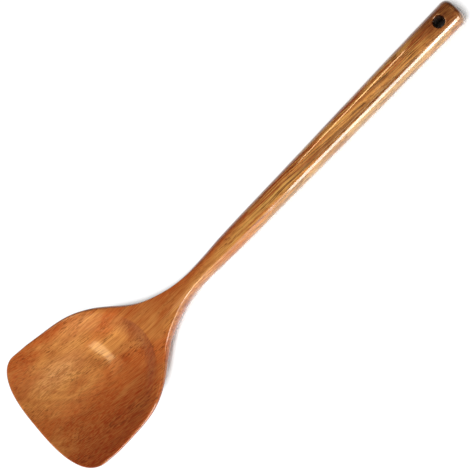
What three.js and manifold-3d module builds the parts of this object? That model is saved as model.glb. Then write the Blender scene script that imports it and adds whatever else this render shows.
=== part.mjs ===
// Wok spatula, carved in one piece from a board of hardwood.
//
// It lies face up on a table, the plane z = 0, and touches it with the lowest point of the
// blade's belly and with the flat back of the handle's end. x runs from the blade's front edge
// to the butt of the handle, y across and z up. Every section is worked out with x = 0 at the
// front edge, and the finished piece is then moved so that the origin is under its middle.
// All lengths are in millimetres.
//
// The shape follows the way that such a spatula is made. A plan outline and a side profile give
// the blank, a round-nosed cutter hollows the blade and leaves a floor of even thickness, the
// edges are bevelled and rounded over, and the hanging hole is drilled and its mouths are eased.

import * as THREE from "three";
import { mergeVertices } from "three/addons/utils/BufferGeometryUtils.js";
import Module from "manifold-3d";

// Plan
const overallLength = 395;
const bladeWidth = 100.4;
const neckFromFront = 148; // to the narrowest place
const neckWidth = 12.9;
const buttWidth = 20.5;
const cornerReach = 22.5; // from the front edge back to where a front corner has turned
const buttCornerRadius = 5.4;

// Side profile
const tipLift = 27.6; // from the table to the front edge's underside
const bellyFromFront = 76; // where the belly touches the table
const archRise = 1.5; // relief under the neck
const restLength = 92; // of the handle's flat back that lies on the table
const bladeDepth = 13.6; // from the belly to the rim, where the blade is deepest
const deepestFromFront = 60;
const landThickness = 11.2; // of the board just behind the hollow
const neckThickness = 12.4;
const handleThickness = 15.3;

// Hollow
const hollowEndShare = 0.538; // of the blade's width: half the width of its oval rear end
const hollowStretchShare = 1.3; // of that half width: how far the oval end runs back
const hollowRear = 95.5; // from the front edge to the oval's end
const hollowWallRun = 12.5; // over which the side walls level out into the floor
const hollowEase = 0.6; // softening of the walls' upper edge
const floorThickness = 4.4;
const frontEdgeThickness = 1.9;
const frontSag = 3.6; // of the front edge between its corners

// Edges
const frontRound = 1.2; // reach of the front edge's rounding
const rimThickness = 3.4;
const rimRound = 1.7;
const bevelReach = 1.9; // of the bevel along the flare and the neck
const handleRound = 5.9;
const buttEdgeRadius = 3;

// Hanging hole
const holeDiameter = 8;
const holeFromButt = 14.5;
const holeEase = 0.9;
const drillOverrun = 3;

// Exponents of the curves
const cornerExponent = 2.6;
const tipExponent = 1.7;
const archExponent = 0.75;
const dishExponent = 2.3;
const wallExponent = 1.8;

// Facets
const faceFacets = 26;
const edgeFacets = 4;
const frontFacets = 3;
const bladeFacets = 28;
const flareFacets = 14;
const handleFacets = 12;
const buttFacets = 5;
const holeFacets = 28;
const easeFacets = 4;
const edgeCrowdingShare = 0.75; // of a face's facets drawn towards its edges
const slopeStep = 0.5;
const weldDistance = 1e-4;

// A place along the length is a share: 0 at the front edge, 1 at the neck, 2 at the butt.
const bowEndShare = 0.6; // up to here the blade's sections bow with the front edge
const flareShare = 0.7;
const gripShare = 1.12; // where the handle has its full rounding

// Each table below holds [place, share of the way from one size to the next].
const shoulderShares = [
  [0.2, 1], [0.34, 0.956], [0.42, 0.907], [0.49, 0.813], [0.55, 0.687],
  [0.61, 0.524], [0.7, 0.283], [0.79, 0.131], [0.89, 0.03],
];
const handleWidthShares = [[1, 0], [1.1, 0.27], [1.28, 0.48], [1.55, 0.7], [2, 1]];
const bladeDepthShares = [[0, 0], [0.25, 0.37], [0.5, 0.65], [0.75, 0.89], [1, 1]]; // of its own run
const landShares = [[0.6, 0], [0.8, 0.5], [1, 1]];
const handleDepthShares = [[1.3, 0.5], [1.62, 0.85], [2, 1]];
const floorShares = [[0, 0], [0.15, 0.65], [0.35, 1]];
const frontRimShares = [[0, 0], [0.2, 0.75]];
const rearRimShares = [[0.42, 0], [0.6, 0.3], [0.8, 0.78], [1, 1]];
const bladeRoundShares = [[0, 0], [0.3, 1]];
const gripRoundShares = [[0.65, 0], [0.92, 0], [gripShare, 0.85], [1.35, 1]];
const crispShares = [[0.45, 0], [0.66, 0.55], [0.9, 0.55], [gripShare, 0]];

const { clamp, lerp } = THREE.MathUtils;
const quarterTurn = Math.PI / 2;
const restFromFront = overallLength - restLength;
const hollowEndHalf = hollowEndShare * bladeWidth;

function alongAt(place) {
  return place < 1 ? place * neckFromFront : lerp(neckFromFront, overallLength, place - 1);
}

// Points of a curve: places along the length with sizes between one size and another.
function between(from, to, shares, placeAt = alongAt) {
  return shares.map(([place, share]) => [placeAt(place), lerp(from, to, share)]);
}

// A natural cubic spline through [x, value] points, level beyond its ends.
function smoothCurve(points) {
  const last = points.length - 1;
  const run = (i) => points[i + 1][0] - points[i][0];
  const slope = (i) => (points[i + 1][1] - points[i][1]) / run(i);
  const carried = [0];
  const bend = [0];
  for (let i = 1; i < last; i += 1) {
    const pivot = 2 * (run(i - 1) + run(i)) - run(i - 1) * carried[i - 1];
    carried[i] = run(i) / pivot;
    bend[i] = (6 * (slope(i) - slope(i - 1)) - run(i - 1) * bend[i - 1]) / pivot;
  }
  bend[last] = 0;
  for (let i = last - 1; i > 0; i -= 1) {
    bend[i] -= carried[i] * bend[i + 1];
  }
  return (x) => {
    const at = clamp(x, points[0][0], points[last][0]);
    let i = 0;
    while (i < last - 1 && at > points[i + 1][0]) {
      i += 1;
    }
    const ahead = (at - points[i][0]) / run(i);
    const behind = 1 - ahead;
    const sag = (behind ** 3 - behind) * bend[i] + (ahead ** 3 - ahead) * bend[i + 1];
    return lerp(points[i][1], points[i + 1][1], ahead) + (sag * run(i) ** 2) / 6;
  };
}

const halfWidthAt = smoothCurve([
  ...between(neckWidth / 2, bladeWidth / 2, shoulderShares),
  ...between(neckWidth / 2, buttWidth / 2, handleWidthShares),
]);

// From the keel, the middle of the underside, up to the level of the rim.
const frontDepth = frontEdgeThickness + frontSag;
const depthAt = smoothCurve([
  ...between(frontDepth, bladeDepth, bladeDepthShares, (share) => share * deepestFromFront),
  ...between(landThickness, neckThickness, landShares),
  ...between(neckThickness, handleThickness, handleDepthShares),
]);

const floorAt = smoothCurve(between(frontEdgeThickness, floorThickness, floorShares));

// Thickness of the board at its very edge, up to the neck.
const rimAt = smoothCurve([
  ...between(frontEdgeThickness, rimThickness, frontRimShares),
  ...between(rimThickness, neckThickness, rearRimShares),
]);

// How far in from the outline the edge's rounding starts.
const roundReachAt = smoothCurve([
  ...between(frontRound, rimRound, bladeRoundShares),
  ...between(bevelReach, handleRound, gripRoundShares),
]);

// From 0, a soft rounded edge, to 1, a bevel that meets the upper face at a crisp arris.
const crispnessAt = smoothCurve(between(0, 1, crispShares));

// Height of the keel over the table.
function keelAt(x) {
  if (x < bellyFromFront) {
    return tipLift * (1 - x / bellyFromFront) ** tipExponent;
  }
  const archShare = clamp((x - bellyFromFront) / (restFromFront - bellyFromFront), 0, 1);
  return archRise * Math.sin(Math.PI * archShare ** archExponent) ** 2;
}

// Share of the hollow's depth at a point: 0 on the land behind it, 1 on its floor.
function hollowShareAt(x, y) {
  const endCentre = hollowRear - hollowStretchShare * hollowEndHalf;
  const behind = Math.max(x - endCentre, 0) / hollowStretchShare;
  const inside = hollowEndHalf - Math.hypot(behind, y);
  const eased = (inside + Math.hypot(inside, hollowEase)) / 2;
  return 1 - (1 - clamp(eased / hollowWallRun, 0, 1)) ** wallExponent;
}

// Heights of the upper and the lower face at x, a share of the half width from the middle.
function facesAt(x, acrossShare) {
  const depth = depthAt(x);
  const edge = x < neckFromFront ? rimAt(x) : depth;
  const dish = 1 - Math.abs(acrossShare) ** dishExponent;
  const hollow = (depth - floorAt(x)) * dish * hollowShareAt(x, acrossShare * halfWidthAt(x));
  const rim = keelAt(x) + depth;
  return [rim - hollow, rim - edge - (depth - edge) * dish];
}

// How far a rounding of the butt draws a surface in at x.
function buttInset(x, radius) {
  const intoShare = clamp(1 - (overallLength - x) / radius, 0, 1);
  return radius * (1 - Math.sqrt(1 - intoShare ** 2));
}

// How far the front edge has curved back, a share of the half width from the middle.
function frontCurve(acrossShare) {
  return cornerReach * (1 - (1 - Math.abs(acrossShare) ** cornerExponent) ** (1 / cornerExponent));
}

// A point of the surface. heightShare is 1 on the upper face, -1 on the lower one and between
// them round the edge. fullnessShare is under 1 only in the rounding of the front edge.
function surfacePoint(along, acrossShare, heightShare, fullnessShare) {
  const bowShare = clamp(1 - along / alongAt(bowEndShare), 0, 1);
  const x = along + bowShare * frontCurve(acrossShare);
  const [upper, lower] = facesAt(x, acrossShare);
  const half = (upper - lower) / 2 - buttInset(x, buttEdgeRadius);
  const y = acrossShare * (halfWidthAt(x) - buttInset(x, buttCornerRadius));
  const z = (upper + lower) / 2 + heightShare * fullnessShare * half;
  return new THREE.Vector3(x, y, z);
}

// One closed section, clockwise seen from the front edge's side: upper face, edge, lower
// face, edge. bareShare is how far across a point would lie if the edges weren't rounded.
function section(along, fullnessShare = 1) {
  const width = halfWidthAt(along);
  const lean = (halfWidthAt(along + slopeStep) - halfWidthAt(along - slopeStep)) / (2 * slopeStep);
  const reachShare = (roundReachAt(along) * Math.hypot(1, lean)) / width;
  const points = [];
  const addPoint = (bareShare, heightShare) => {
    const crispness = heightShare > 0 ? crispnessAt(along) : 0;
    const softShare = 1 - Math.sqrt(1 - heightShare ** 2);
    const insetShare = reachShare * lerp(softShare, heightShare ** 2, crispness);
    points.push(surfacePoint(along, bareShare * (1 - insetShare), heightShare, fullnessShare));
  };
  for (const side of [1, -1]) {
    for (let i = 0; i < faceFacets; i += 1) {
      const even = 1 - (2 * i) / faceFacets;
      addPoint(side * lerp(even, Math.sin(even * quarterTurn), edgeCrowdingShare), side);
    }
    for (let i = 0; i < 2 * edgeFacets; i += 1) {
      addPoint(-side, side * Math.cos((i / edgeFacets) * quarterTurn));
    }
  }
  return points;
}

// Sections from the front edge to the butt, close together where the shape turns quickly.
function spatulaSections() {
  const sections = [];
  for (let i = 0; i < frontFacets; i += 1) {
    const turn = (i / frontFacets) * quarterTurn;
    sections.push(section(frontRound * (1 - Math.cos(turn)), Math.sin(turn)));
  }
  const buttFrom = overallLength - buttCornerRadius;
  const stretches = [
    [frontRound, alongAt(flareShare), bladeFacets],
    [alongAt(flareShare), alongAt(gripShare), flareFacets],
    [alongAt(gripShare), buttFrom, handleFacets],
  ];
  for (const [from, to, count] of stretches) {
    for (let i = 0; i < count; i += 1) {
      sections.push(section(lerp(from, to, i / count)));
    }
  }
  for (let i = 0; i <= buttFacets; i += 1) {
    const turn = (i / buttFacets) * quarterTurn;
    sections.push(section(lerp(buttFrom, overallLength, Math.sin(turn))));
  }
  return sections;
}

// Skin over closed sections of equally many points, with a flat cap on the last one.
function loft(sections) {
  const count = sections[0].length;
  const triangles = [];
  for (let i = 0; i + 1 < sections.length; i += 1) {
    for (let j = 0; j < count; j += 1) {
      const a = i * count + j;
      const b = i * count + ((j + 1) % count);
      triangles.push([a, b, b + count], [a, b + count, a + count]);
    }
  }
  const rim = (sections.length - 1) * count;
  for (let j = 1; j + 1 < count; j += 1) {
    triangles.push([rim, rim + j, rim + j + 1]);
  }
  const positions = sections.flat().flatMap((point) => point.toArray());
  const geometry = new THREE.BufferGeometry();
  geometry.setAttribute("position", new THREE.Float32BufferAttribute(positions, 3));
  geometry.setIndex(triangles.flat());
  return geometry;
}

// What the drill and the easing tool take away, upright through the handle.
function holeCutter() {
  const x = overallLength - holeFromButt;
  const [upper, lower] = facesAt(x, 0);
  const bore = holeDiameter / 2;
  const profile = [];
  for (let i = 0; i <= easeFacets; i += 1) {
    const turn = (i / easeFacets) * quarterTurn;
    const radius = bore + holeEase * (1 - Math.sin(turn));
    profile.push([radius, holeEase * (1 - Math.cos(turn))]);
  }
  const lowerMouth = profile.map(([radius, inward]) => new THREE.Vector2(radius, lower + inward));
  const upperMouth = profile.map(([radius, inward]) => new THREE.Vector2(radius, upper - inward));
  const cutter = new THREE.LatheGeometry([
    new THREE.Vector2(0, lower - drillOverrun),
    new THREE.Vector2(bore + holeEase, lower - drillOverrun),
    ...lowerMouth,
    ...upperMouth.reverse(),
    new THREE.Vector2(bore + holeEase, upper + drillOverrun),
    new THREE.Vector2(0, upper + drillOverrun),
  ], holeFacets);
  cutter.rotateX(quarterTurn);
  cutter.translate(x, 0, 0);
  return cutter;
}

const wasm = await Module();
wasm.setup();

function solidOf(geometry) {
  const bare = geometry.clone();
  bare.deleteAttribute("normal");
  bare.deleteAttribute("uv");
  const merged = mergeVertices(bare, weldDistance);
  const corners = Array.from(merged.index.array);
  const triVerts = [];
  for (let i = 0; i < corners.length; i += 3) {
    const [a, b, c] = corners.slice(i, i + 3);
    if (a !== b && b !== c && c !== a) {
      triVerts.push(a, b, c);
    }
  }
  return new wasm.Manifold(new wasm.Mesh({
    numProp: 3,
    vertProperties: merged.getAttribute("position").array,
    triVerts: new Uint32Array(triVerts),
  }));
}

function geometryOf(solid) {
  const { vertProperties, triVerts } = solid.getMesh();
  const geometry = new THREE.BufferGeometry();
  geometry.setAttribute("position", new THREE.BufferAttribute(vertProperties, 3));
  geometry.setIndex(new THREE.BufferAttribute(triVerts, 1));
  geometry.computeVertexNormals();
  return geometry;
}

const lacqueredHardwood = new THREE.MeshStandardMaterial({
  color: 0xb2692f,
  roughness: 0.32,
  metalness: 0,
});

const board = solidOf(loft(spatulaSections()));
const drilled = board.subtract(solidOf(holeCutter()));
const spatula = new THREE.Mesh(geometryOf(drilled), lacqueredHardwood);
spatula.name = "spatula";
spatula.position.x = -overallLength / 2;

const wokSpatula = new THREE.Group();
wokSpatula.add(spatula);

export default wokSpatula;
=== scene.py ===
"""Wok spatula, carved in one piece from rosewood, sanded and lacquered.

The spatula lies face up on a pale floor. x runs from the front edge of its blade to the butt
of its handle, y across and z up, in metres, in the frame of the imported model.
"""
import math

import bpy
import numpy as np
from bpy.props import FloatProperty, FloatVectorProperty, PointerProperty
from mathutils import Matrix, Vector


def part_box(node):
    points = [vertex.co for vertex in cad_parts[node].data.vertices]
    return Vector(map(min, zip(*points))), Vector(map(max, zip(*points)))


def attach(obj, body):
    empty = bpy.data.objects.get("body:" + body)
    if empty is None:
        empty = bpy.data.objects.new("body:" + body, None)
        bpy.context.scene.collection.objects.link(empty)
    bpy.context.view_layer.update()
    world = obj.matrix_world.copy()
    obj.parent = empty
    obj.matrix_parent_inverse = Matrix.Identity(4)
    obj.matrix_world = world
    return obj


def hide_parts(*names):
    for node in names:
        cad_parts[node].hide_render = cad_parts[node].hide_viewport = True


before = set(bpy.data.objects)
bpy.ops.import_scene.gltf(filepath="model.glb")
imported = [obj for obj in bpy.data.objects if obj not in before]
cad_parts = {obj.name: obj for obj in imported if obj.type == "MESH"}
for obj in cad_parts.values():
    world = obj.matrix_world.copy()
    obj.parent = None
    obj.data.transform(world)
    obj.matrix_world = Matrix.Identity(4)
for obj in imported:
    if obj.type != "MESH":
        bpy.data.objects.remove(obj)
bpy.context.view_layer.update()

bl_info = {
    "name": "Wok Spatula",
    "version": (1, 0, 0),
    "blender": (4, 5, 0),
    "location": "View3D > Sidebar > Wok Spatula",
    "description": "Carves a hardwood wok spatula and sets it on a stage",
    "category": "Add Mesh",
}

MM = 0.001
BOX_LOW, BOX_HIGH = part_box("spatula")
BOX = BOX_HIGH - BOX_LOW
QUARTER_TURN = math.pi / 2


# Sizes and colours that a user would change

def size(name, description, millimetres):
    """A length that is set in millimetres here and kept in metres."""
    return FloatProperty(
        name=name, description=description, default=millimetres * MM, min=0,
        precision=4, subtype="DISTANCE", unit="LENGTH",
    )


def linear(hex_colour):
    """Turns an sRGB hex colour into linear red, green, blue and alpha."""
    channels = [int(hex_colour[i:i + 2], 16) / 255 for i in (0, 2, 4)]
    low, knee = 12.92, 0.04045
    curved = [c / low if c <= knee else ((c + 0.055) / 1.055) ** 2.4 for c in channels]
    return (*curved, 1)


def colour(name, description, hex_colour):
    """A colour that is set as sRGB hex here and kept as linear light."""
    return FloatVectorProperty(
        name=name, description=description, default=linear(hex_colour), min=0, max=1,
        size=4, subtype="COLOR",
    )


class SpatulaSizes(bpy.types.PropertyGroup):
    length: size("Length", "From the front edge to the butt", BOX.x / MM)
    blade_width: size("Blade width", "Across the blade's widest place", BOX.y / MM)
    neck_from_front: size("Neck place", "From the front edge to the narrowest place", 148)
    neck_width: size("Neck width", "Across the narrowest place", 12.9)
    butt_width: size("Butt width", "Across the end of the handle", 20.5)
    corner_reach: size("Corner reach", "From the front edge to where a corner has turned", 22.5)
    butt_corner_radius: size("Butt corners", "Radius of the butt's corners, seen from above", 5.4)
    tip_lift: size("Tip lift", "From the table to the underside of the front edge", 27.6)
    belly_from_front: size("Belly place", "Where the belly touches the table", 76)
    arch_rise: size("Arch", "Relief under the neck", 1.5)
    rest_length: size("Rest length", "Of the handle's flat back that lies on the table", 92)
    blade_depth: size("Blade depth", "From the belly to the rim, where it is deepest", 13.6)
    deepest_from_front: size("Deepest place", "Where the blade is deepest", 60)
    land_thickness: size("Land thickness", "Of the board just behind the hollow", 11.2)
    neck_thickness: size("Neck thickness", "Of the board at the neck", 12.4)
    handle_thickness: size("Handle thickness", "Of the board at the butt", 15.3)
    hollow_rear: size("Hollow length", "From the front edge to the hollow's round end", 95.5)
    hollow_wall_run: size("Hollow wall", "Over which the side walls level out", 12.5)
    hollow_ease: size("Hollow ease", "Softening of the rear wall's upper edge", 0.6)
    floor_thickness: size("Floor thickness", "Of the wood under the hollow", 4.4)
    front_edge_thickness: size("Front edge", "Thickness of the front edge", 1.9)
    front_sag: size("Front sag", "Of the front edge between its corners", 3.6)
    front_round: size("Front rounding", "Reach of the front edge's rounding", 1.2)
    rim_thickness: size("Rim thickness", "Of the blade's sides at their edge", 3.4)
    rim_round: size("Rim rounding", "Reach of the rim's rounding", 1.7)
    bevel_reach: size("Bevel", "Reach of the bevel along the flare and the neck", 1.9)
    handle_round: size("Handle rounding", "Reach of the rounding along the handle", 5.9)
    face_shift: size("Face shift", "Of the handle's flat upper face to the right", 0.9)
    left_gain: size("Left rounding", "How much farther it reaches at the butt", 1.8)
    butt_edge_radius: size("Butt edges", "Radius of the butt's edges, seen from the side", 3)
    hole_diameter: size("Hole", "Diameter of the hanging hole", 8)
    hole_from_butt: size("Hole place", "From the butt to the middle of the hole", 14.5)
    hole_ease: size("Hole ease", "Rounding of the hole's mouths", 0.9)
    hand_work: size("Hand work", "How far the sanding strays from the true surface", 0.12)


class WoodColours(bpy.types.PropertyGroup):
    sap: colour("Sapwood", "The palest wood, along the handle's right side", "C2A67A")
    umber: colour("Umber wood", "Brown growth lines", "84421A")
    pale: colour("Pale wood", "Earlywood under lacquer", "CF8B47")
    main: colour("Main wood", "The wood's main colour under lacquer", "B55C27")
    gold: colour("Golden wood", "Olive-gold patches along the handle", "CA984F")
    deep: colour("Deep wood", "The red-brown heart and the darker bands", "8A2807")
    russet: colour("Russet wood", "Warm red wood along the left edge", "9A3407")
    # Painted sheen: this colour lightens patches where soft highlights lie, on the blade and along
    # the neck's right side.
    painted_sheen: colour("Straw wood", "The lightest patches of the blade and the neck", "E2A66A")
    # Partly painted shade: besides darkening the end grain, this dims the hollow's steep rear wall
    # as its shade.
    cut: colour("End grain", "How wood cut across its fibres is dimmed", "D8CDDC")
    bark: colour("Dark lines", "The darkest growth lines, along the handle", "4A220C")
    pore: colour("Pores", "Open pores filled with dark lacquer", "5A230A")
    sheen: colour("Sheen", "What the fibres reflect through the lacquer", "FFC878")
    # Painted shade: the bore's nearly black colour, and its darker rings, stand for the shade
    # inside the hole.
    bore_shade: colour("Scorch", "The drilled wall of the hanging hole", "1A0E08")
    bore_deepest_shade: colour("Soot", "The darkest rings of the drilled wall", "080504")


class StageSettings(bpy.types.PropertyGroup):
    floor: colour("Floor", "The pale floor", "F4F4F4")


# The form. A place along the length is a share: 0 at the front edge, 1 at the neck, 2 at the butt.

HOLLOW_END_SHARE = 0.538
HOLLOW_STRETCH_SHARE = 1.3
BOW_END_SHARE = 0.6
FLARE_SHARE = 0.7
GRIP_SHARE = 1.12
CORNER_EXPONENT = 2.6
TIP_EXPONENT = 1.7
ARCH_EXPONENT = 0.75
DISH_EXPONENT = 2.3
WALL_EXPONENT = 1.8
SLOPE_STEP = 0.5 * MM

# Each table holds (place, share of the way from one size to the next). The places of
# BLADE_DEPTH_SHARES are shares of the way from the front edge to the deepest place.
SHOULDER_SHARES = (
    (0.2, 1), (0.34, 0.956), (0.42, 0.907), (0.49, 0.813), (0.55, 0.687),
    (0.61, 0.524), (0.7, 0.283), (0.79, 0.131), (0.89, 0.03),
)
HANDLE_WIDTH_SHARES = ((1, 0), (1.1, 0.27), (1.28, 0.48), (1.55, 0.7), (2, 1))
BLADE_DEPTH_SHARES = ((0, 0), (0.25, 0.37), (0.5, 0.65), (0.75, 0.89), (1, 1))
LAND_SHARES = ((0.6, 0), (0.8, 0.5), (1, 1))
HANDLE_DEPTH_SHARES = ((1.3, 0.5), (1.62, 0.85), (2, 1))
FLOOR_SHARES = ((0, 0), (0.15, 0.65), (0.35, 1))
FRONT_RIM_SHARES = ((0, 0), (0.2, 0.75))
REAR_RIM_SHARES = ((0.42, 0), (0.6, 0.3), (0.8, 0.78), (1, 1))
BLADE_ROUND_SHARES = ((0, 0), (0.3, 1))
GRIP_ROUND_SHARES = ((0.65, 0), (0.92, 0), (GRIP_SHARE, 0.85), (1.35, 1))
LEFT_GAIN_SHARES = ((1.2, 0), (1.5, 0.3), (2, 1))
CRISP_SHARES = ((0.45, 0), (0.66, 0.55), (0.9, 0.55), (GRIP_SHARE, 0))


def lerp(low, high, share):
    return low + (high - low) * share


def smooth_curve(points):
    """A natural cubic spline through (x, value) points, level beyond its ends."""
    places, values = np.array(points).T
    runs = np.diff(places)
    slopes = np.diff(values) / runs
    matrix = np.eye(len(places))
    turns = np.zeros(len(places))
    for i in range(1, len(runs)):
        matrix[i, i - 1:i + 2] = runs[i - 1], 2 * (runs[i - 1] + runs[i]), runs[i]
        turns[i] = 6 * (slopes[i] - slopes[i - 1])
    bends = np.linalg.solve(matrix, turns)

    def value_at(x):
        at = np.clip(x, places[0], places[-1])
        i = np.clip(np.searchsorted(places, at) - 1, 0, len(runs) - 1)
        ahead = (at - places[i]) / runs[i]
        behind = 1 - ahead
        sag = (behind ** 3 - behind) * bends[i] + (ahead ** 3 - ahead) * bends[i + 1]
        return lerp(values[i], values[i + 1], ahead) + sag * runs[i] ** 2 / 6

    return value_at


class SpatulaForm:
    """Where the spatula's surface lies, with x = 0 at its front edge."""

    def __init__(self, sizes):
        s = self.sizes = sizes
        half_neck = s.neck_width / 2
        self.half_width = smooth_curve([
            *self.between(half_neck, s.blade_width / 2, SHOULDER_SHARES),
            *self.between(half_neck, s.butt_width / 2, HANDLE_WIDTH_SHARES),
        ])
        front_depth = s.front_edge_thickness + s.front_sag
        self.depth = smooth_curve([
            *[(share * s.deepest_from_front, lerp(front_depth, s.blade_depth, deep))
              for share, deep in BLADE_DEPTH_SHARES],
            *self.between(s.land_thickness, s.neck_thickness, LAND_SHARES),
            *self.between(s.neck_thickness, s.handle_thickness, HANDLE_DEPTH_SHARES),
        ])
        self.floor = smooth_curve(
            self.between(s.front_edge_thickness, s.floor_thickness, FLOOR_SHARES))
        self.rim = smooth_curve([
            *self.between(s.front_edge_thickness, s.rim_thickness, FRONT_RIM_SHARES),
            *self.between(s.rim_thickness, s.neck_thickness, REAR_RIM_SHARES),
        ])
        self.round_reach = smooth_curve([
            *self.between(s.front_round, s.rim_round, BLADE_ROUND_SHARES),
            *self.between(s.bevel_reach, s.handle_round, GRIP_ROUND_SHARES),
        ])
        self.face_shift = smooth_curve(self.between(0, s.face_shift, GRIP_ROUND_SHARES))
        self.left_gain = smooth_curve(self.between(0, s.left_gain, LEFT_GAIN_SHARES))
        self.crispness = smooth_curve(self.between(0, 1, CRISP_SHARES))

    def along(self, place):
        """The distance from the front edge to a place."""
        s = self.sizes
        if place < 1:
            return place * s.neck_from_front
        return lerp(s.neck_from_front, s.length, place - 1)

    def between(self, low, high, shares):
        return [(self.along(place), lerp(low, high, share)) for place, share in shares]

    def keel(self, x):
        """Height of the underside's middle line over the table."""
        s = self.sizes
        ahead = np.clip(1 - x / s.belly_from_front, 0, 1)
        rest_from_front = s.length - s.rest_length
        behind = (x - s.belly_from_front) / (rest_from_front - s.belly_from_front)
        arch = np.sin(math.pi * np.clip(behind, 0, 1) ** ARCH_EXPONENT) ** 2
        return s.tip_lift * ahead ** TIP_EXPONENT + s.arch_rise * arch

    def hollow_share(self, x, y):
        """0 on the land behind the hollow, 1 on its floor."""
        s = self.sizes
        radius = HOLLOW_END_SHARE * s.blade_width
        end_centre = s.hollow_rear - HOLLOW_STRETCH_SHARE * radius
        behind = np.maximum(x - end_centre, 0) / HOLLOW_STRETCH_SHARE
        inside = radius - np.hypot(behind, y)
        eased = (inside + np.hypot(inside, s.hollow_ease)) / 2
        return 1 - (1 - np.clip(eased / s.hollow_wall_run, 0, 1)) ** WALL_EXPONENT

    def faces(self, x, across):
        """Heights of the upper and the lower face, across being a share of the half width."""
        depth = self.depth(x)
        edge = np.where(x < self.sizes.neck_from_front, self.rim(x), depth)
        dish = 1 - np.abs(across) ** DISH_EXPONENT
        hollow = (depth - self.floor(x)) * dish
        hollow = hollow * self.hollow_share(x, across * self.half_width(x))
        rim = self.keel(x) + depth
        return rim - hollow, rim - edge - (depth - edge) * dish

    def butt_inset(self, x, radius):
        into = np.clip(1 - (self.sizes.length - x) / radius, 0, 1)
        return radius * (1 - np.sqrt(1 - into ** 2))

    def front_curve(self, across):
        """How far the front edge has curved back."""
        rest = np.clip(1 - np.abs(across) ** CORNER_EXPONENT, 0, 1)
        return self.sizes.corner_reach * (1 - rest ** (1 / CORNER_EXPONENT))

    def point(self, along, across, height, fullness):
        """A point of the surface, height being 1 on the upper face and -1 on the lower one."""
        s = self.sizes
        bow = np.clip(1 - along / self.along(BOW_END_SHARE), 0, 1)
        x = along + bow * self.front_curve(across)
        upper, lower = self.faces(x, across)
        half = (upper - lower) / 2 - self.butt_inset(x, s.butt_edge_radius)
        y = across * (self.half_width(x) - self.butt_inset(x, s.butt_corner_radius))
        z = (upper + lower) / 2 + height * fullness * half
        return np.stack([x, y, z], axis=-1)

    def reach_share(self, along):
        """The edge rounding's reach as a share of the half width."""
        lean = self.half_width(along + SLOPE_STEP) - self.half_width(along - SLOPE_STEP)
        slant = np.hypot(1, lean / (2 * SLOPE_STEP))
        return self.round_reach(along) * slant / self.half_width(along)

    def handle_height(self, x, y, side):
        """Height of the handle's upper face, side 1, or its lower face, side -1."""
        across = y / self.half_width(x)
        shift = self.face_shift(x) * np.sign(y) + self.left_gain(x) * (y > 0)
        reach = self.reach_share(x) + shift / self.half_width(x) * (side > 0)
        into = np.clip((np.abs(across) - (1 - reach)) / reach, 0, 1)
        upper, lower = self.faces(x, across)
        return (upper + lower) / 2 + side * np.sqrt(1 - into ** 2) * (upper - lower) / 2


# The mesh

FACE_COLUMNS = 72
EDGE_COLUMNS = 12
FRONT_ROWS = 6
BLADE_ROWS = 130
FLARE_ROWS = 90
HANDLE_ROWS = 210
BUTT_ROWS = 14
CAP_ROWS = 6
EDGE_CROWDING_SHARE = 0.75
HOLE_PATCH = 6.4 * MM
HOLE_APRON_RINGS = 5
HOLE_EASE_RINGS = 6
HOLE_BORE_RINGS = 8
BORE_MARGIN = 0.02 * MM
# Waves of the sanding: their lengths along, across and upright in mm, and their phase
SANDING_WAVES = (
    (61, 47, 90, 0.4), (37, -58, 70, 2.1), (24, 33, -40, 4.4), (17, -21, 35, 1.3),
)


def section_rows(form):
    """(distance along, fullness) of each section, from the front edge to the butt's middle."""
    s = form.sizes
    butt_from = s.length - s.butt_corner_radius
    stretches = (
        (s.front_round, form.along(FLARE_SHARE), BLADE_ROWS),
        (form.along(FLARE_SHARE), form.along(GRIP_SHARE), FLARE_ROWS),
        (form.along(GRIP_SHARE), butt_from, HANDLE_ROWS),
    )
    turns = np.linspace(0, QUARTER_TURN, FRONT_ROWS, endpoint=False)
    rows = [(s.front_round * (1 - math.cos(turn)), math.sin(turn)) for turn in turns]
    for start, end, count in stretches:
        rows += [(x, 1) for x in np.linspace(start, end, count, endpoint=False)]
    for turn in np.linspace(0, QUARTER_TURN, BUTT_ROWS):
        rows.append((lerp(butt_from, s.length, math.sin(turn)), 1))
    rows += [(s.length, full) for full in np.linspace(1, 0, CAP_ROWS + 1)[1:]]
    return np.array(rows)


def section_grid(form, rows):
    """Points of all sections. Each runs over the upper face from +Y to -Y and back below."""
    along = rows[:, :1]
    fullness = rows[:, 1:]
    turn = np.linspace(0, QUARTER_TURN, EDGE_COLUMNS, endpoint=False)
    even = np.linspace(1, -1, FACE_COLUMNS + 1)
    crowded = lerp(even, np.sin(even * QUARTER_TURN), EDGE_CROWDING_SHARE)
    height = np.concatenate([np.sin(turn), np.ones(FACE_COLUMNS + 1), np.sin(turn)[::-1]])
    side = np.concatenate([np.ones(EDGE_COLUMNS), crowded, -np.ones(EDGE_COLUMNS)])
    reach = form.reach_share(along)
    soft = 1 - np.sqrt(1 - height ** 2)
    shift = form.face_shift(along) + form.left_gain(along) * (1 + side) / 2
    shift = shift / form.half_width(along)
    halves = []
    for face, crispness, lean in ((1, form.crispness(along), shift), (-1, 0, 0)):
        inset = lerp(soft, height ** 2, crispness)
        across = side * (1 - reach * inset) - lean * inset
        halves.append(form.point(along, across, face * height, fullness))
    upper, lower = halves
    return np.concatenate([upper, lower[:, -2:0:-1]], axis=1)


def grid_faces(index):
    """Four-sided faces between neighbouring rows and columns of an index grid."""
    corners = (index[:-1, :-1], index[:-1, 1:], index[1:, 1:], index[1:, :-1])
    return np.stack(corners, axis=-1).reshape(-1, 4)


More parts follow.
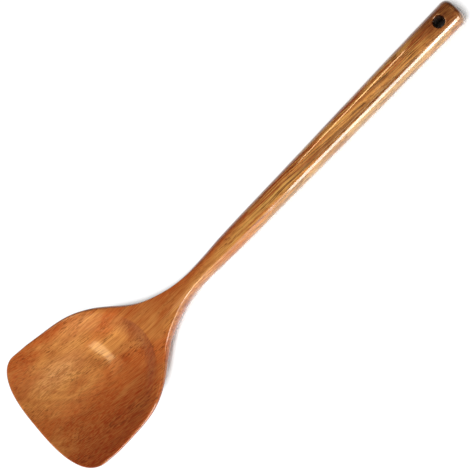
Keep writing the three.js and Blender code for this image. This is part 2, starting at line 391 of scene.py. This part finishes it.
def hole_rings(form, loop):
    """Rings of points from a loop on the upper face, down the bore, out to the lower face."""
    s = form.sizes
    centre = s.length - s.hole_from_butt
    offset = loop - (centre, 0)
    distance = np.hypot(*offset.T)
    direction = offset / distance[:, None]
    bore = s.hole_diameter / 2
    mouth = bore + s.hole_ease
    halves = []
    for side in (1, -1):
        rings = []
        for share in np.linspace(1, 0, HOLE_APRON_RINGS + 1)[1:]:
            spot = direction * lerp(mouth, distance, share)[:, None] + (centre, 0)
            height = form.handle_height(spot[:, 0], spot[:, 1], side)
            rings.append(np.column_stack([spot, height]))
        for turn in np.linspace(0, QUARTER_TURN, HOLE_EASE_RINGS + 1)[1:]:
            radius = bore + s.hole_ease * (1 - math.sin(turn))
            spot = direction * radius + (centre, 0)
            sunk = height - side * s.hole_ease * (1 - math.cos(turn))
            rings.append(np.column_stack([spot, sunk]))
        halves.append(rings)
    upper, lower = halves
    shares = np.linspace(0, 1, HOLE_BORE_RINGS + 1)[1:-1]
    bore_rings = [lerp(upper[-1], lower[-1], share) for share in shares]
    return [*upper, *bore_rings, *reversed(lower)]


def carve(form):
    """Points and faces of the whole spatula: sections joined up, with the hole's own rings."""
    rows = section_rows(form)
    grid = section_grid(form, rows)
    row_count, column_count = grid.shape[:2]
    half = column_count // 2
    index = np.arange(row_count * column_count).reshape(row_count, column_count)
    for end in (0, -1):
        index[end, half + 1:] = index[end, half - 1:0:-1]
    closed = np.concatenate([index, index[:, :1]], axis=1)

    hole_at = form.sizes.length - form.sizes.hole_from_butt
    row = np.nonzero((np.abs(rows[:, 0] - hole_at) < HOLE_PATCH) & (rows[:, 1] == 1))[0]
    width = np.abs(grid[row[len(row) // 2], :half + 1, 1])
    column = np.nonzero(width < HOLE_PATCH)[0]
    first_row, last_row = row[0], row[-1]
    first, last = column[0], column[-1]
    cut = np.zeros((row_count - 1, column_count), bool)
    cut[first_row:last_row, first:last] = True
    cut[first_row:last_row, column_count - last:column_count - first] = True
    faces = grid_faces(closed)[~cut.ravel()]

    across = np.arange(first, last + 1)
    along = np.arange(first_row, last_row + 1)
    loop_rows = np.concatenate([
        np.full(len(across) - 1, first_row), along[:-1],
        np.full(len(across) - 1, last_row), along[:0:-1],
    ])
    loop_columns = np.concatenate([
        across[:-1], np.full(len(along) - 1, last),
        across[:0:-1], np.full(len(along) - 1, first),
    ])
    mirrored = (column_count - loop_columns) % column_count
    rings = hole_rings(form, grid[loop_rows, loop_columns, :2])
    count = len(loop_rows)
    points = np.concatenate([grid.reshape(-1, 3), *rings])
    start = row_count * column_count
    ring_index = [start + k * count + np.arange(count) for k in range(len(rings))]
    ladder = np.array([
        closed[loop_rows, loop_columns], *ring_index, closed[loop_rows, mirrored],
    ])
    ladder = np.concatenate([ladder, ladder[:, :1]], axis=1)
    faces = np.concatenate([faces, grid_faces(ladder)])

    used, faces = np.unique(faces, return_inverse=True)
    return points[used], faces.reshape(-1, 4)


def hand_sand(mesh, sizes):
    """Takes off a little wood unevenly, as sanding by hand does."""
    points = np.empty(len(mesh.vertices) * 3)
    mesh.vertices.foreach_get("co", points)
    points = points.reshape(-1, 3)
    normals = np.empty(len(mesh.vertices) * 3, np.float32)
    mesh.vertex_normals.foreach_get("vector", normals)
    normals = normals.reshape(-1, 3)
    stray = np.zeros(len(points))
    for along, across, upright, phase in SANDING_WAVES:
        angle = points[:, 0] / along + points[:, 1] / across + points[:, 2] / upright
        stray += np.sin(2 * math.pi * angle / MM + phase)
    depth = sizes.hand_work * (1 + stray / len(SANDING_WAVES)) / 2
    points -= normals * depth[:, None]
    mesh.vertices.foreach_set("co", points.ravel())
    mesh.update()


# Materials

# A Mix node's sockets for colours: its share, its two colours and its result
MIX_SHARE, MIX_FROM, MIX_TO, MIX_RESULT = 0, 6, 7, 2


def metres(lengths):
    """Lengths in mm, turned into metres."""
    return [length * MM for length in lengths]


def per_length(lengths):
    """Scales that draw a pattern at these lengths in mm."""
    return [1 / (length * MM) for length in lengths]


def add_node(tree, kind, inputs, **settings):
    """A new node with its settings. An input is a value or another node's output."""
    node = tree.nodes.new(kind)
    for name, value in settings.items():
        setattr(node, name, value)
    for key, value in inputs.items():
        if isinstance(value, bpy.types.NodeSocket):
            tree.links.new(value, node.inputs[key])
        else:
            node.inputs[key].default_value = value
    return node


def new_material(name):
    """A material with an empty node tree, and that tree."""
    material = bpy.data.materials.new(name)
    material.use_nodes = True
    material.node_tree.nodes.clear()
    return material, material.node_tree


# Noise patterns: name, size along, across and through the grain in mm, detail, and the noise level
# at which the pattern starts and is full
WOOD_PATTERNS = (
    ("cloud", (48, 13, 20), 2, 0.42, 0.60),
    ("mottle", (20, 8, 12), 2, 0.44, 0.66),
    ("band", (110, 2.6, 8), 2, 0.50, 0.70),
    ("streak", (36, 0.8, 2.4), 2, 0.46, 0.62),
    ("line", (30, 0.6, 1.8), 1, 0.50, 0.62),
    ("stripe", (70, 0.9, 0.9), 1, 0.49, 0.58),
    ("glint", (60, 1.1, 1.1), 1, 0.48, 0.56),
    ("fibre", (8, 0.5, 1.3), 1, 0.36, 0.64),
    ("pore_group", (26, 8, 8), 2, 0.40, 0.62),
    ("pore", (4, 0.55, 1.6), 1, 0.54, 0.66),
    ("peel", (7, 4, 4), 1, 0.20, 0.80),
)
# Where the board runs into darker or paler wood, and where painted sheen lightens it: centre and
# reach, each along and across in mm, strength and colour
WOOD_ZONES = (
    ((-168, 16), (56, 24), 1.0, "pale"),
    ((-180, -54), (100, 54), 1.0, "deep"),
    ((-138, -34), (74, 26), 0.6, "deep"),
    ((-124, -25), (28, 14), 0.7, "deep"),
    # Painted sheen on the blade's middle and its rear left
    ((-164, 22), (30, 13), 0.6, "painted_sheen"),
    ((-136, 36), (24, 12), 0.3, "painted_sheen"),
    ((-92, -7), (22, 8), 0.4, "gold"),
    ((-150, 56), (80, 20), 0.4, "deep"),
    ((-184, 34), (24, 22), 0.4, "russet"),
    ((-178, -13), (26, 6), 0.5, "deep"),
    ((-160, 6), (16, 6), 0.5, "russet"),
    ((-128, -4), (14, 8), 0.5, "russet"),
    ((-70, 6), (62, 24), 0.6, "umber"),
    ((30, 9), (150, 7.5), 1.0, "russet"),
    ((-10, 6), (90, 6), 1.0, "russet"),
    ((26, 4.8), (56, 4.2), 1.0, "russet"),
    # Painted sheen along the neck's right side
    ((-50, -5), (44, 3.6), 0.8, "painted_sheen"),
    ((2, -2.5), (95, 5.5), 1.0, "gold"),
    ((-46, -8), (36, 2.6), 0.8, "bark"),
    ((196, 5), (52, 26), 1.0, "deep"),
)
# Single growth lines on the handle, a darker patch on its right side, and its dark end, in the
# same terms
GROWTH_LINES = (
    ((64, -3.4), (30, 1.5), 1.0, "pore"),
    ((62, -2.2), (28, 1.0), 0.8, "deep"),
    ((84, -3.7), (44, 1.4), 1.0, "pore"),
    ((104, -4.0), (60, 1.9), 1.0, "pore"),
    ((138, -5.4), (36, 1.7), 1.0, "pore"),
    ((114, 1.2), (44, 1.8), 0.9, "umber"),
    ((95, 6.8), (36, 2.2), 0.8, "deep"),
    ((120, -1.2), (44, 1.6), 0.7, "pale"),
    ((84, -0.6), (30, 1.6), 0.6, "pale"),
    ((170, -4.4), (20, 1.4), 0.8, "pale"),
    ((20, 1.4), (34, 1.0), 0.7, "deep"),
    ((4, -3.4), (40, 0.8), 0.6, "deep"),
    ((58, -5.2), (26, 0.9), 0.9, "pale"),
    ((80, -9.5), (26, 3.5), 0.5, "umber"),
    ((190, 1), (42, 13), 1.0, "deep"),
    ((190, 1), (35, 11), 0.9, "bark"),
)
# Where a pattern fades in or out: axis, from and to in mm, and how much there is at either end.
# Glints and stripes are drawn on the handle, and the stripes stop short of its red left edge. The
# sapwood runs along the right side of the handle and the neck, and is left off that side's lowest
# margin, which stays darker as painted shade.
WOOD_FADES = (
    ("glint", "X", -30, 50, 0, 1),
    ("stripe", "X", -30, 50, 0, 1),
    ("stripe", "Y", 5, 1.5, 0, 1),
    ("sapwood_and_shade", "X", -60, 110, 0, 1),
    ("sapwood_and_shade", "Y", -4.6, -7.8, 0, 1),
    # Painted shade: the sapwood fades out along the lowest margin of the right side.
    ("sapwood_and_shade", "Y", -8.5, -10.2, 1, 0.1),
)
# What is laid over the zones and under the growth lines, from the lowest up: pattern, strength
# and colour
WOOD_LAYERS = (
    ("ring", 0.30, "deep"),
    ("mottle", 0.24, "deep"),
    ("band", 0.22, "deep"),
    ("streak", 0.28, "deep"),
    ("line", 0.50, "umber"),
    ("glint", 0.85, "gold"),
    ("stripe", 1.00, "bark"),
    ("sapwood_and_shade", 0.72, "sap"),
)
# How pale the fibres and how dark the pores are drawn, where a zone or line reaches its full
# strength, and how far the hole's painted shade reaches into its eased mouths
FIBRE_SHARE = 0.26
PORE_SHARE = 0.65
MARK_CORE_SHARE = 0.1
BORE_SHADE_SHARE = 0.5
GRAIN_SLANT = math.radians(4.7)
# The grain's slow wandering and the growth rings. In mm: how long a wander is along, across and
# through the board, how far it takes the grain and the single lines, where the pith lies, and how
# far apart the rings are
DRIFT_LENGTHS = (90, 24, 24)
DRIFT_DETAIL = 2
GRAIN_WANDER = (0, 9, 9)
LINE_WANDER = (0, 2, 0)
PITH = (0, 30, -45)
RING_SPACING = 4
RING_DETAIL = 3
# Noise levels: its mean, and where a growth ring starts and is full
NOISE_MEAN = (0.5, 0.5, 0.5)
RING_LEVELS = (0.42, 0.70)
# The x of the surface's normal where the end grain's dimming, partly painted shade, starts to
# show, and where it shows in full
END_GRAIN_SHADE_LEANS = (-0.15, -0.5)
BUMP_STRENGTH = 0.5
PORE_DEPTH = 0.05 * MM
PEEL_DEPTH = 0.015 * MM
WOOD_ROUGHNESS = (0.34, 0.44)


def grain_places(tree, board):
    """Places that follow the wandering grain, for the patterns and for the single lines."""
    slanted = add_node(tree, "ShaderNodeMapping", {
        "Vector": board, "Rotation": (0, 0, GRAIN_SLANT),
    }).outputs[0]
    slow = add_node(tree, "ShaderNodeMapping", {
        "Vector": slanted, "Scale": per_length(DRIFT_LENGTHS),
    }).outputs[0]
    drift = add_node(tree, "ShaderNodeTexNoise", {
        "Vector": slow, "Scale": 1, "Detail": DRIFT_DETAIL,
    }).outputs["Color"]
    drift = add_node(tree, "ShaderNodeVectorMath", {
        0: drift, 1: NOISE_MEAN,
    }, operation="SUBTRACT").outputs[0]
    return [add_node(tree, "ShaderNodeVectorMath", {
        0: drift, 1: metres(wander), 2: slanted,
    }, operation="MULTIPLY_ADD").outputs[0] for wander in (GRAIN_WANDER, LINE_WANDER)]


def wood_levels(tree, board, grain):
    """How much of each pattern there is, by the pattern's name."""
    levels = {"sapwood_and_shade": 1}
    for name, lengths, detail, low, high in WOOD_PATTERNS:
        scaled = add_node(tree, "ShaderNodeMapping", {
            "Vector": grain, "Scale": per_length(lengths),
        }).outputs[0]
        noise = add_node(tree, "ShaderNodeTexNoise", {
            "Vector": scaled, "Scale": 1, "Detail": detail,
        }).outputs["Fac"]
        levels[name] = add_node(tree, "ShaderNodeMapRange", {
            "Value": noise, "From Min": low, "From Max": high,
        }, interpolation_type="SMOOTHSTEP").outputs[0]

    # Growth rings round the pith, which lies under the blade's left side.
    ring_plane = add_node(tree, "ShaderNodeVectorMath", {
        0: grain, 1: (0, 1, 1),
    }, operation="MULTIPLY").outputs[0]
    radius = add_node(tree, "ShaderNodeVectorMath", {
        0: ring_plane, 1: metres(PITH),
    }, operation="DISTANCE").outputs["Value"]
    ring_place = add_node(tree, "ShaderNodeMath", {
        0: radius, 1: RING_SPACING * MM,
    }, operation="DIVIDE").outputs[0]
    ring = add_node(tree, "ShaderNodeTexNoise", {
        "W": ring_place, "Scale": 1, "Detail": RING_DETAIL,
    }, noise_dimensions="1D").outputs["Fac"]
    ring_start, ring_full = RING_LEVELS
    levels["ring"] = add_node(tree, "ShaderNodeMapRange", {
        "Value": ring, "From Min": ring_start, "From Max": ring_full,
    }, interpolation_type="SMOOTHSTEP").outputs[0]

    place = add_node(tree, "ShaderNodeSeparateXYZ", {0: board}).outputs
    for name, axis, start, end, least, most in WOOD_FADES:
        share = add_node(tree, "ShaderNodeMapRange", {
            "Value": place[axis], "From Min": start * MM, "From Max": end * MM,
            "To Min": least, "To Max": most,
        }, interpolation_type="SMOOTHSTEP").outputs[0]
        levels[name] = add_node(tree, "ShaderNodeMath", {
            0: levels[name], 1: share,
        }, operation="MULTIPLY").outputs[0]
    return levels


def mark_layers(tree, place, slant, marks):
    """Soft oval marks on the board: each one's level, strength and colour name."""
    turn = Matrix.Rotation(slant, 2)
    layers = []
    for centre, reach, strength, tint in marks:
        centre = turn @ Vector(centre)
        spot = add_node(tree, "ShaderNodeMapping", {
            "Vector": place,
            "Location": (*[-at / by for at, by in zip(centre, reach)], 0),
            "Scale": (*per_length(reach), 0),
        }).outputs[0]
        away = add_node(tree, "ShaderNodeVectorMath", {
            0: spot,
        }, operation="LENGTH").outputs["Value"]
        level = add_node(tree, "ShaderNodeMapRange", {
            "Value": away, "From Min": 1, "From Max": MARK_CORE_SHARE,
        }, interpolation_type="SMOOTHSTEP").outputs[0]
        layers.append((level, strength, tint))
    return layers


# Rosewood, carved along the grain, sanded fine, oiled and lacquered: golden to red-brown, with
# darker growth bands, short dark pores, and a clear semi-gloss coat that softens them. The
# pores are drawn two to three times as wide as real ones, or they wouldn't show.
def lacquered_rosewood(colours, sizes):
    material, tree = new_material("lacquered_rosewood")
    where = add_node(tree, "ShaderNodeTexCoord", {}).outputs
    board = where["Object"]
    grain, line_place = grain_places(tree, board)
    levels = wood_levels(tree, board, grain)
    layers = [
        *mark_layers(tree, board, 0, WOOD_ZONES),
        *[(levels[name], strength, tint) for name, strength, tint in WOOD_LAYERS],
        *mark_layers(tree, line_place, GRAIN_SLANT, GROWTH_LINES),
        (levels["fibre"], FIBRE_SHARE, "pale"),
    ]
    colour_now = add_node(tree, "ShaderNodeMix", {
        MIX_SHARE: levels["cloud"], MIX_FROM: colours.main, MIX_TO: colours.pale,
    }, data_type="RGBA").outputs[MIX_RESULT]
    for level, strength, tint in layers:
        amount = add_node(tree, "ShaderNodeMath", {
            0: level, 1: strength,
        }, operation="MULTIPLY").outputs[0]
        colour_now = add_node(tree, "ShaderNodeMix", {
            MIX_SHARE: amount, MIX_FROM: colour_now, MIX_TO: getattr(colours, tint),
        }, data_type="RGBA").outputs[MIX_RESULT]
    pores = add_node(tree, "ShaderNodeMath", {
        0: levels["pore"], 1: levels["pore_group"],
    }, operation="MULTIPLY").outputs[0]
    dark = add_node(tree, "ShaderNodeMath", {
        0: pores, 1: PORE_SHARE,
    }, operation="MULTIPLY").outputs[0]
    colour_now = add_node(tree, "ShaderNodeMix", {
        MIX_SHARE: dark, MIX_FROM: colour_now, MIX_TO: colours.pore,
    }, data_type="RGBA").outputs[MIX_RESULT]

    # The hollow's rear wall and the front edge cut the fibres steeply, so they drink more lacquer
    # and are darker. The dimming goes by which way the surface faces, and on the steep rear wall
    # it is also painted shade.
    facing = add_node(tree, "ShaderNodeSeparateXYZ", {0: where["Normal"]}).outputs
    lean_start, lean_full = END_GRAIN_SHADE_LEANS
    end_grain_and_shade = add_node(tree, "ShaderNodeMapRange", {
        "Value": facing["X"], "From Min": lean_start, "From Max": lean_full,
    }, interpolation_type="SMOOTHSTEP").outputs[0]
    colour_now = add_node(tree, "ShaderNodeMix", {
        MIX_SHARE: end_grain_and_shade, MIX_FROM: colour_now, MIX_TO: colours.cut,
    }, data_type="RGBA", blend_type="MULTIPLY").outputs[MIX_RESULT]

    # Painted shade: the inner part of the hole's eased mouths darkens toward the bore.
    hole = add_node(tree, "ShaderNodeVectorMath", {
        0: board, 1: (1, 1, 0),
    }, operation="MULTIPLY").outputs[0]
    hole_place = (BOX_HIGH.x - sizes.hole_from_butt, 0, 0)
    away = add_node(tree, "ShaderNodeVectorMath", {
        0: hole, 1: hole_place,
    }, operation="DISTANCE").outputs["Value"]
    bore = sizes.hole_diameter / 2
    bore_shade = add_node(tree, "ShaderNodeMapRange", {
        "Value": away, "From Min": bore + BORE_SHADE_SHARE * sizes.hole_ease, "From Max": bore,
    }).outputs[0]
    colour_now = add_node(tree, "ShaderNodeMix", {
        MIX_SHARE: bore_shade, MIX_FROM: colour_now, MIX_TO: colours.bore_shade,
    }, data_type="RGBA").outputs[MIX_RESULT]

    # Under the lacquer the pores dip and the fibres stand a little; the coat levels both.
    relief = add_node(tree, "ShaderNodeMath", {
        0: pores, 1: -1, 2: levels["fibre"],
    }, operation="MULTIPLY_ADD").outputs[0]
    wood_normal = add_node(tree, "ShaderNodeBump", {
        "Height": relief, "Strength": BUMP_STRENGTH, "Distance": PORE_DEPTH,
    }).outputs[0]
    coat_normal = add_node(tree, "ShaderNodeBump", {
        "Height": levels["peel"], "Strength": BUMP_STRENGTH, "Distance": PEEL_DEPTH,
    }).outputs[0]
    smoothest, roughest = WOOD_ROUGHNESS
    roughness = add_node(tree, "ShaderNodeMapRange", {
        "Value": levels["streak"], "To Min": smoothest, "To Max": roughest,
    }).outputs[0]
    # The fibres lie along x and throw their golden sheen across.
    across = add_node(tree, "ShaderNodeCombineXYZ", {"Y": 1}).outputs[0]
    shader = add_node(tree, "ShaderNodeBsdfPrincipled", {
        "Base Color": colour_now, "Roughness": roughness, "IOR": 1.5,
        "Specular IOR Level": 0.15, "Specular Tint": colours.sheen, "Anisotropic": 0.7,
        "Tangent": across, "Coat Weight": 1, "Coat Roughness": 0.08,
        "Coat IOR": 1.6, "Normal": wood_normal, "Coat Normal": coat_normal,
    })
    add_node(tree, "ShaderNodeOutputMaterial", {"Surface": shader.outputs[0]})
    return material


# Rings of deeper painted shade in the bore: lengths across the bore and along it in mm
BORE_SHADE_LENGTHS = (3, 3, 0.4)
BORE_SHADE_DETAIL = 2


# The drilled wall of the hole: raw, unlacquered wood, drawn matt and nearly black, which is
# painted shade for the dark inside of the deep, narrow hole.
def shaded_bore(colours):
    material, tree = new_material("shaded_bore")
    board = add_node(tree, "ShaderNodeTexCoord", {}).outputs["Object"]
    rings = add_node(tree, "ShaderNodeMapping", {
        "Vector": board, "Scale": per_length(BORE_SHADE_LENGTHS),
    }).outputs[0]
    rings = add_node(tree, "ShaderNodeTexNoise", {
        "Vector": rings, "Scale": 1, "Detail": BORE_SHADE_DETAIL,
    }).outputs["Fac"]
    bore_colour = add_node(tree, "ShaderNodeMix", {
        MIX_SHARE: rings, MIX_FROM: colours.bore_shade, MIX_TO: colours.bore_deepest_shade,
    }, data_type="RGBA").outputs[MIX_RESULT]
    shader = add_node(tree, "ShaderNodeBsdfPrincipled", {
        "Base Color": bore_colour, "Roughness": 1, "Specular IOR Level": 0,
    })
    add_node(tree, "ShaderNodeOutputMaterial", {"Surface": shader.outputs[0]})
    return material


# How near the object the paper is in its shade, the share of open sky where it starts to glow,
# and how much of it glows, and how brightly, in the open
SHADOW_REACH = 6 * MM
SHADED_SKY_SHARE = 0.5
PAPER_GLOW_SHARE = 0.9
PAPER_GLOW = 1.1


# Matt paper, lit evenly, so that it shows as white and keeps a soft shadow close to the object.
def matt_paper(paper):
    material, tree = new_material("matt_paper")
    rays = add_node(tree, "ShaderNodeLightPath", {}).outputs
    seen = add_node(tree, "ShaderNodeMath", {
        0: rays["Is Camera Ray"], 1: rays["Is Glossy Ray"],
    }, operation="MAXIMUM").outputs[0]
    seen = add_node(tree, "ShaderNodeMath", {
        0: seen, 1: rays["Is Transmission Ray"],
    }, operation="MAXIMUM").outputs[0]
    open_sky = add_node(tree, "ShaderNodeAmbientOcclusion", {
        "Distance": SHADOW_REACH,
    }).outputs["AO"]
    glow = add_node(tree, "ShaderNodeMapRange", {
        "Value": open_sky, "From Min": SHADED_SKY_SHARE,
    }).outputs[0]
    for share in (seen, PAPER_GLOW_SHARE):
        glow = add_node(tree, "ShaderNodeMath", {
            0: glow, 1: share,
        }, operation="MULTIPLY").outputs[0]
    lit = add_node(tree, "ShaderNodeBsdfDiffuse", {"Color": paper})
    white = add_node(tree, "ShaderNodeEmission", {
        "Color": linear("FFFFFF"), "Strength": PAPER_GLOW,
    })
    both = add_node(tree, "ShaderNodeMixShader", {
        0: glow, 1: lit.outputs[0], 2: white.outputs[0],
    })
    add_node(tree, "ShaderNodeOutputMaterial", {"Surface": both.outputs[0]})
    return material


# Operators

class WOKSPATULA_OT_carve(bpy.types.Operator):
    """Carves the spatula and gives it its lacquered wood"""
    bl_idname = "wokspatula.carve"
    bl_label = "Carve Spatula"

    def execute(self, context):
        scene = context.scene
        sizes = scene.spatula_sizes
        colours = scene.wood_colours
        points, faces = carve(SpatulaForm(sizes))
        mesh = bpy.data.meshes.new("carved_spatula")
        mesh.from_pydata(points + (BOX_LOW.x, 0, 0), [], faces.tolist())
        mesh.update()
        hand_sand(mesh, sizes)
        mesh.shade_smooth()
        if mesh.validate():
            raise RuntimeError("the spatula's mesh had faulty faces")
        mesh.materials.append(lacquered_rosewood(colours, sizes))
        mesh.materials.append(shaded_bore(colours))
        # The bore's faces take the nearly black material of painted shade.
        hole_place = Vector((BOX_HIGH.x - sizes.hole_from_butt, 0))
        for face in mesh.polygons:
            from_axis = (face.center.xy - hole_place).length
            face.material_index = int(from_axis < sizes.hole_diameter / 2 + BORE_MARGIN)
        piece = bpy.data.objects.new("carved_spatula", mesh)
        scene.collection.objects.link(piece)
        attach(piece, "root")
        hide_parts("spatula")
        return {"FINISHED"}


FLOOR_SIZE = 6
CAMERA_DISTANCE = 1.2
CAMERA_SWING = math.radians(9.23)
CAMERA_TIP = math.radians(18.33)
CAMERA_ROLL = math.radians(46.04)
CAMERA_LENS = 137.36
CAMERA_AIM = Vector((-11.75, 1.4, 7.6)) * MM

# The studio's wall is brightest low down on the side that the blade points to. Turns are the x,
# and heights the z, of the direction from the spatula.
STUDIO_TINT = "FFF0DC"
WALL_TURNS = (0.1, -0.6)
WALL_STRENGTHS = (0.12, 0.25)
WALL_TOP_HEIGHTS = (0.15, 0.45)
CEILING_STRENGTH = 0.08

# Lamps: name, place, target, width, height, radiance and colour
WINDOW = ("window_softbox", (-0.12, -3.53, 1.65), (0, 0, 0), 0.74, 3, 11, "FFFFFF")
# The key has crossed polarisers, so it doesn't mirror in the lacquer.
KEY = ("key_softbox", (-1.3, -0.8, 1.9), (0, 0, 0), 1.4, 1.2, 13, "FFFFFF")
# These only mirror in the lacquer: the gleam in the hollow and the lines along the arrises.
GLEAMS = (
    ("curtain_softbox", (-0.75, -3.53, 1.65), (0, 0, 0), 0.55, 3, 2, "FFFFFF"),
    ("corner_softbox", (0.5, -1.74, 0.75), (-0.09, 0, 0), 0.8, 1.4, 10, "FFEEDC"),
    ("top_softbox", (-0.03, 0.28, 1.8), (-0.13, 0, 0), 0.19, 0.52, 4.8, "FFE0A8"),
    ("halo_softbox", (-0.03, 0.3, 1.82), (-0.13, 0, 0), 0.34, 0.8, 1.2, "FFC878"),
    ("fill_softbox", (0.43, 0.28, 1.5), (-0.1, 0, 0), 0.45, 0.6, 1, "FFC878"),
    ("arris_strip", (0.082, 0.185, 0.28), (0.082, 0, 0.015), 0.125, 0.055, 14, "FFD29A"),
)


def axes_facing(back):
    """Directions across a lamp or camera whose back points that way: level and upright."""
    level = (Vector((1, 0, 0)) - back * back.x).normalized()
    return level, back.cross(level)


def add_softbox(scene, name, place, target, width, height, radiance, tint):
    """A rectangular lamp, its width along x, that shines as bright as its radiance says."""
    light = bpy.data.lights.new(name, "AREA")
    light.shape = "RECTANGLE"
    light.size = width
    light.size_y = height
    light.energy = radiance * math.pi * width * height
    light.color = linear(tint)[:3]
    lamp = bpy.data.objects.new(name, light)
    back = (Vector(place) - Vector(target)).normalized()
    turn = Matrix((*axes_facing(back), back)).transposed().to_4x4()
    lamp.matrix_world = Matrix.Translation(place) @ turn
    scene.collection.objects.link(lamp)
    return lamp


def add_camera(scene):
    """A long lens that looks down on the spatula from above its right side."""
    data = bpy.data.cameras.new("camera")
    data.lens = CAMERA_LENS
    camera = bpy.data.objects.new("camera", data)
    back = Vector((math.sin(CAMERA_SWING), -math.sin(CAMERA_TIP), 0))
    back.z = math.sqrt(1 - back.length_squared)
    level, upright = axes_facing(back)
    right = level * math.cos(CAMERA_ROLL) - upright * math.sin(CAMERA_ROLL)
    up = level * math.sin(CAMERA_ROLL) + upright * math.cos(CAMERA_ROLL)
    turn = Matrix((right, up, back)).transposed().to_4x4()
    camera.matrix_world = Matrix.Translation(CAMERA_AIM + back * CAMERA_DISTANCE) @ turn
    scene.collection.objects.link(camera)
    scene.camera = camera


def lay_floor(scene):
    """A large flat sheet of paper under the spatula."""
    half = FLOOR_SIZE / 2
    corners = [(-half, -half, 0), (half, -half, 0), (half, half, 0), (-half, half, 0)]
    mesh = bpy.data.meshes.new("floor")
    mesh.from_pydata(corners, [], [(0, 1, 2, 3)])
    mesh.materials.append(matt_paper(scene.stage_settings.floor))
    floor = bpy.data.objects.new("floor", mesh)
    scene.collection.objects.link(floor)


def add_studio(scene):
    """The dim room round the spatula, which gives it a little light from all sides."""
    world = bpy.data.worlds.new("studio")
    world.use_nodes = True
    tree = world.node_tree
    tree.nodes.clear()
    toward = add_node(tree, "ShaderNodeTexCoord", {}).outputs["Generated"]
    toward = add_node(tree, "ShaderNodeSeparateXYZ", {0: toward}).outputs
    turn_start, turn_full = WALL_TURNS
    dimmest, brightest = WALL_STRENGTHS
    wall = add_node(tree, "ShaderNodeMapRange", {
        "Value": toward["X"], "From Min": turn_start, "From Max": turn_full,
        "To Min": dimmest, "To Max": brightest,
    }, interpolation_type="SMOOTHSTEP").outputs[0]
    top_start, top_full = WALL_TOP_HEIGHTS
    strength = add_node(tree, "ShaderNodeMapRange", {
        "Value": toward["Z"], "From Min": top_start, "From Max": top_full,
        "To Min": wall, "To Max": CEILING_STRENGTH,
    }, interpolation_type="SMOOTHSTEP").outputs[0]
    sky = add_node(tree, "ShaderNodeBackground", {
        "Color": linear(STUDIO_TINT), "Strength": strength,
    })
    add_node(tree, "ShaderNodeOutputWorld", {"Surface": sky.outputs[0]})
    scene.world = world


class WOKSPATULA_OT_stage(bpy.types.Operator):
    """Lays the floor and sets up the soft lights and the camera"""
    bl_idname = "wokspatula.stage"
    bl_label = "Set Stage"

    def execute(self, context):
        scene = context.scene
        scene.view_settings.view_transform = "Standard"
        lay_floor(scene)
        add_studio(scene)
        add_softbox(scene, *WINDOW)
        add_softbox(scene, *KEY).visible_glossy = False
        for gleam in GLEAMS:
            add_softbox(scene, *gleam).visible_diffuse = False
        add_camera(scene)
        return {"FINISHED"}


class WOKSPATULA_PT_panel(bpy.types.Panel):
    """The spatula's operators, sizes and colours"""
    bl_idname = "WOKSPATULA_PT_panel"
    bl_label = "Wok Spatula"
    bl_space_type = "VIEW_3D"
    bl_region_type = "UI"
    bl_category = "Wok Spatula"

    def draw(self, context):
        column = self.layout.column()
        for operator in OPERATORS:
            column.operator(operator.bl_idname)
        for name in SETTINGS:
            group = getattr(context.scene, name)
            for setting in type(group).__annotations__:
                column.prop(group, setting)


OPERATORS = (WOKSPATULA_OT_carve, WOKSPATULA_OT_stage)
SETTINGS = {
    "spatula_sizes": SpatulaSizes,
    "wood_colours": WoodColours,
    "stage_settings": StageSettings,
}


def register():
    for group in SETTINGS.values():
        bpy.utils.register_class(group)
    for name, group in SETTINGS.items():
        setattr(bpy.types.Scene, name, PointerProperty(type=group))
    for cls in (*OPERATORS, WOKSPATULA_PT_panel):
        bpy.utils.register_class(cls)


def unregister():
    for cls in (WOKSPATULA_PT_panel, *reversed(OPERATORS)):
        bpy.utils.unregister_class(cls)
    for name, group in SETTINGS.items():
        delattr(bpy.types.Scene, name)
        bpy.utils.unregister_class(group)


def main():
    register()
    bpy.ops.wokspatula.carve()
    bpy.ops.wokspatula.stage()
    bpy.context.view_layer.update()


if __name__ == "__main__":
    main()
